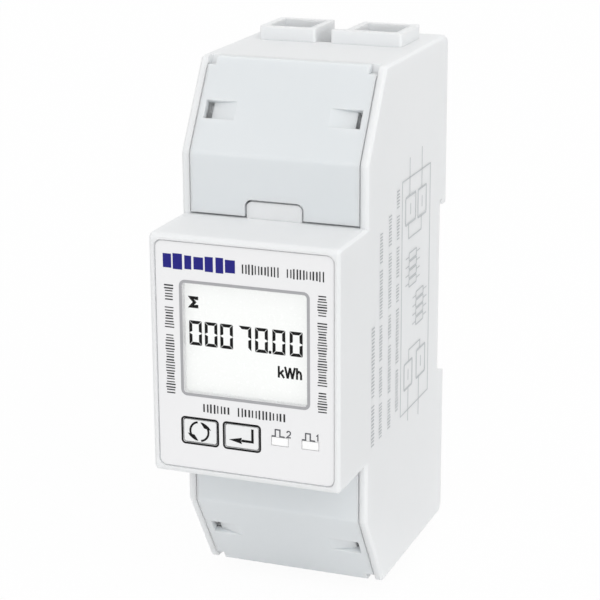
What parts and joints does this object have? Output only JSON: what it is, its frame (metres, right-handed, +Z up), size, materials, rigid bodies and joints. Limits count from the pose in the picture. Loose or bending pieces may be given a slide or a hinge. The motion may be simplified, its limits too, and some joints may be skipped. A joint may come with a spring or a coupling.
{
  "type": "smart energy meter",
  "caption": "Slim rail-mounted energy meter with a display window, two keys and two pulse lamps on its nose, slanted terminal covers, and cable collars at top and bottom.",
  "frame": {"origin": "centre of the rail seat, the raised face that meets the mounting rail's front; the label is towards -Y", "axes": "+Z up along the housing's height, +Y to the rear into the rail, +X to the right as the label is read"},
  "size_m": [0.036, 0.063, 0.1052],
  "materials": {
    "housing": "fine matte, flame-retardant thermoplastic",
    "cover": "fine matte, flame-retardant thermoplastic",
    "label": "satin printed film",
    "window": "clear gloss polycarbonate",
    "lcd": "clear glass with polarising film",
    "light_guide": "white, gloss",
    "holder": "matte white",
    "elastomer": "soft, matte",
    "board": "satin solder resist over glass fibre",
    "connector": "matte",
    "chip": "matte epoxy",
    "crystal_can": "bright drawn",
    "ferrite": "dull, fired",
    "bobbin": "matte",
    "winding": "enamelled copper wire under yellow tape",
    "film_box": "satin, yellow",
    "varistor": "satin epoxy coat",
    "can": "sleeved",
    "resistor": "matte lacquer",
    "copper": "bare copper",
    "shunt_alloy": "bare resistance alloy",
    "pin": "tinned",
    "key": "satin",
    "switch_body": "matte",
    "plunger": "matte",
    "light_pipe": "clear gloss polycarbonate",
    "lamp": "tinted epoxy",
    "clip": "fine matte, glass-filled polyamide",
    "signal_block": "matte",
    "clamp": "plain",
    "screw": "zinc plated",
    "cage": "zinc plated"
  },
  "bodies": {
    "case": {"housing_shell": "housing", "rear_base": "housing", "housing_screws": "screw", "front_label": "label", "display_window": "window", "lcd_glass": "lcd", "lcd_backlight": "light_guide", "lcd_holder": "holder", "elastomer_connector": "elastomer", "display_board": "board", "main_board": "board", "stacking_connector": "connector", "microcontroller": "chip", "crystal": "crystal_can", "metering_chip": "chip", "optocoupler_upper": "chip", "optocoupler_lower": "chip", "transformer_core": "ferrite", "transformer_bobbin": "bobbin", "transformer_winding": "winding", "film_capacitor": "film_box", "varistor": "varistor", "bulk_capacitor": "can", "output_capacitor": "can", "fuse_resistor": "resistor", "line_busbar_upper": "copper", "line_busbar_lower": "copper", "current_shunt": "shunt_alloy", "neutral_busbar": "copper", "sense_pins": "pin", "switch_body_scroll": "switch_body", "switch_body_enter": "switch_body", "light_pipe_active": "light_pipe", "light_pipe_reactive": "light_pipe", "pulse_led_active": "lamp", "pulse_led_reactive": "lamp", "signal_terminal_upper": "signal_block", "signal_screws_upper": "screw", "signal_clamps_upper": "clamp", "signal_terminal_lower": "signal_block", "signal_screws_lower": "screw", "signal_clamps_lower": "clamp"},
    "rail_clip": {"rail_clip": "clip"},
    "cover_upper": {"terminal_cover_upper": "cover"},
    "cover_lower": {"terminal_cover_lower": "cover"},
    "key_scroll": {"key_scroll": "key", "switch_plunger_scroll": "plunger"},
    "key_enter": {"key_enter": "key", "switch_plunger_enter": "plunger"},
    "screw_upper_line": {"terminal_screw_upper_line": "screw"},
    "cage_upper_line": {"terminal_cage_upper_line": "cage"},
    "screw_upper_neutral": {"terminal_screw_upper_neutral": "screw"},
    "cage_upper_neutral": {"terminal_cage_upper_neutral": "cage"},
    "screw_lower_line": {"terminal_screw_lower_line": "screw"},
    "cage_lower_line": {"terminal_cage_lower_line": "cage"},
    "screw_lower_neutral": {"terminal_screw_lower_neutral": "screw"},
    "cage_lower_neutral": {"terminal_cage_lower_neutral": "cage"}
  },
  "joints": [
    {"name": "key_scroll_press", "type": "slide", "parent": "case", "child": "key_scroll", "axis": [0, 1, 0], "range_m": [0, 0.0004], "stiffness_N_per_m": 3000, "springref_m": -0.0001},
    {"name": "key_enter_press", "type": "slide", "parent": "case", "child": "key_enter", "axis": [0, 1, 0], "range_m": [0, 0.0004], "stiffness_N_per_m": 3000, "springref_m": -0.0001},
    {"name": "rail_clip_pull", "type": "slide", "parent": "case", "child": "rail_clip", "axis": [0, 0, -1], "range_m": [0, 0.005], "stiffness_N_per_m": 1000, "springref_m": -0.002},
    {"name": "cover_upper_off", "type": "slide", "parent": "case", "child": "cover_upper", "axis": [0, -1, 0], "range_m": [0, 0.025]},
    {"name": "cover_lower_off", "type": "slide", "parent": "case", "child": "cover_lower", "axis": [0, -1, 0], "range_m": [0, 0.025]},
    {"name": "screw_upper_line_turn", "type": "hinge", "parent": "case", "child": "screw_upper_line", "pos_m": [-0.00863, -0.033, 0.034], "axis": [0, 1, 0], "range_deg": [0, 2160]},
    {"name": "cage_upper_line_rise", "type": "slide", "parent": "case", "child": "cage_upper_line", "axis": [0, -1, 0], "range_m": [0, 0.0048]},
    {"name": "screw_upper_neutral_turn", "type": "hinge", "parent": "case", "child": "screw_upper_neutral", "pos_m": [0.00863, -0.033, 0.034], "axis": [0, 1, 0], "range_deg": [0, 2160]},
    {"name": "cage_upper_neutral_rise", "type": "slide", "parent": "case", "child": "cage_upper_neutral", "axis": [0, -1, 0], "range_m": [0, 0.0048]},
    {"name": "screw_lower_line_turn", "type": "hinge", "parent": "case", "child": "screw_lower_line", "pos_m": [-0.00863, -0.033, -0.034], "axis": [0, 1, 0], "range_deg": [0, 2160]},
    {"name": "cage_lower_line_rise", "type": "slide", "parent": "case", "child": "cage_lower_line", "axis": [0, -1, 0], "range_m": [0, 0.0048]},
    {"name": "screw_lower_neutral_turn", "type": "hinge", "parent": "case", "child": "screw_lower_neutral", "pos_m": [0.00863, -0.033, -0.034], "axis": [0, 1, 0], "range_deg": [0, 2160]},
    {"name": "cage_lower_neutral_rise", "type": "slide", "parent": "case", "child": "cage_lower_neutral", "axis": [0, -1, 0], "range_m": [0, 0.0048]}
  ],
  "couplings": [
    {"joint": "screw_upper_line_turn", "follows": "cage_upper_line_rise", "rad_per_m": 7854},
    {"joint": "screw_upper_neutral_turn", "follows": "cage_upper_neutral_rise", "rad_per_m": 7854},
    {"joint": "screw_lower_line_turn", "follows": "cage_lower_line_rise", "rad_per_m": 7854},
    {"joint": "screw_lower_neutral_turn", "follows": "cage_lower_neutral_rise", "rad_per_m": 7854}
  ]
}
